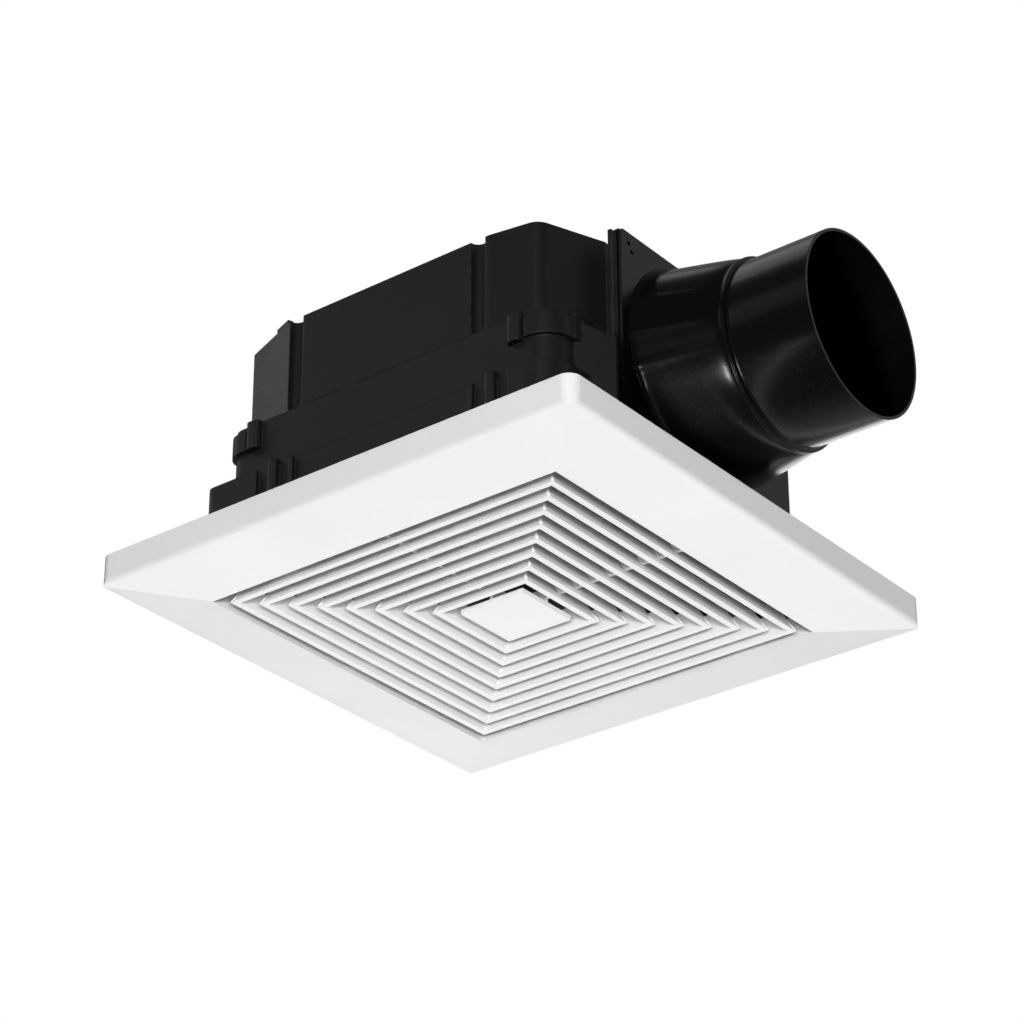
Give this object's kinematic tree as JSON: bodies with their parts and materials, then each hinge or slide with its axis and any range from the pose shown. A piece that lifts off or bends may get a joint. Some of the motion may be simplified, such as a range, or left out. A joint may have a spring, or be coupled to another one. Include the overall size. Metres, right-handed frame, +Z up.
{
  "type": "ceiling exhaust fan",
  "caption": "Ceiling exhaust fan: a square louvred ceiling panel under a moulded housing with a motor and centrifugal impeller, and a round duct spigot with a back-draught flap on one side.",
  "frame": {"origin": "centre of the four ceiling screw holes, in the ceiling plane on the upper face of the housing's flange", "axes": "+Z up, away from the room; +X out of the duct spigot; the long side seen in the picture faces -Y"},
  "size_m": [0.365, 0.3, 0.154],
  "materials": {
    "panel": "white, fine satin",
    "black_abs": "black, satin moulding",
    "black_gloss": "black, semi-gloss moulding",
    "dark_grey_pp": "dark grey, matte",
    "foam": "closed-cell foam, matte",
    "bush_rubber": "matte",
    "zinc_steel": "zinc-plated sheet",
    "spring_steel": "bright drawn wire",
    "screw_steel": "zinc-plated",
    "laminations": "stacked electrical steel, oiled",
    "copper": "enamelled copper wire",
    "bearing_steel": "ground",
    "brass": "machined",
    "capacitor_case": "off-white, satin",
    "nylon": "natural nylon, satin"
  },
  "bodies": {
    "housing": {"main_housing": "black_abs", "upper_cover": "black_abs", "cover_screws": "screw_steel", "scroll_casing": "dark_grey_pp", "inlet_ring": "dark_grey_pp", "inlet_screws": "screw_steel", "motor_plate": "zinc_steel", "plate_screws": "screw_steel", "motor_case_upper": "zinc_steel", "motor_case_lower": "zinc_steel", "stator_core": "laminations", "stator_windings": "copper", "bearing_upper": "bearing_steel", "bearing_lower": "bearing_steel", "motor_bushes": "bush_rubber", "motor_screws": "screw_steel", "capacitor": "capacitor_case", "capacitor_clip": "zinc_steel", "terminal_block": "nylon", "terminal_screws": "brass", "terminal_cover": "black_abs", "cable_gland": "bush_rubber", "duct_adaptor": "black_gloss", "adaptor_gasket": "foam", "adaptor_screws": "screw_steel", "damper_pin": "spring_steel"},
    "fan_wheel": {"impeller": "dark_grey_pp", "motor_shaft": "bearing_steel", "rotor_core": "laminations", "impeller_washer": "zinc_steel", "impeller_nut": "zinc_steel"},
    "panel": {"grille_panel": "panel", "spring_left_coil": "spring_steel", "spring_right_coil": "spring_steel"},
    "flap": {"damper_flap": "dark_grey_pp"},
    "left_leg_a": {"spring_left_leg_a": "spring_steel"},
    "left_leg_b": {"spring_left_leg_b": "spring_steel"},
    "right_leg_a": {"spring_right_leg_a": "spring_steel"},
    "right_leg_b": {"spring_right_leg_b": "spring_steel"}
  },
  "joints": [
    {"name": "fan_spin", "type": "hinge", "parent": "housing", "child": "fan_wheel", "pos_m": [-0.006, 0.01, 0], "axis": [0, 0, 1], "continuous": true},
    {"name": "damper_swing", "type": "hinge", "parent": "housing", "child": "flap", "pos_m": [0.1287, 0, 0.112], "axis": [0, -1, 0], "range_deg": [0, 55]},
    {"name": "grille_drop", "type": "slide", "parent": "housing", "child": "panel", "axis": [0, 0, -1], "range_m": [0, 0.03], "stiffness_N_per_m": 250, "springref_m": -0.04},
    {"name": "left_leg_a_turn", "type": "hinge", "parent": "panel", "child": "left_leg_a", "pos_m": [-0.066, -0.094, -0.004], "axis": [0, 1, 0], "range_deg": [0, 16.47]},
    {"name": "left_leg_b_turn", "type": "hinge", "parent": "panel", "child": "left_leg_b", "pos_m": [-0.066, -0.094, -0.004], "axis": [0, -1, 0], "range_deg": [0, 16.47]},
    {"name": "right_leg_a_turn", "type": "hinge", "parent": "panel", "child": "right_leg_a", "pos_m": [0.066, 0.094, -0.004], "axis": [0, -1, 0], "range_deg": [0, 16.47]},
    {"name": "right_leg_b_turn", "type": "hinge", "parent": "panel", "child": "right_leg_b", "pos_m": [0.066, 0.094, -0.004], "axis": [0, 1, 0], "range_deg": [0, 16.47]}
  ],
  "couplings": [
    {"joint": "left_leg_a_turn", "follows": "grille_drop", "rad_per_m": 9},
    {"joint": "left_leg_b_turn", "follows": "grille_drop", "rad_per_m": 9},
    {"joint": "right_leg_a_turn", "follows": "grille_drop", "rad_per_m": 9},
    {"joint": "right_leg_b_turn", "follows": "grille_drop", "rad_per_m": 9}
  ]
}
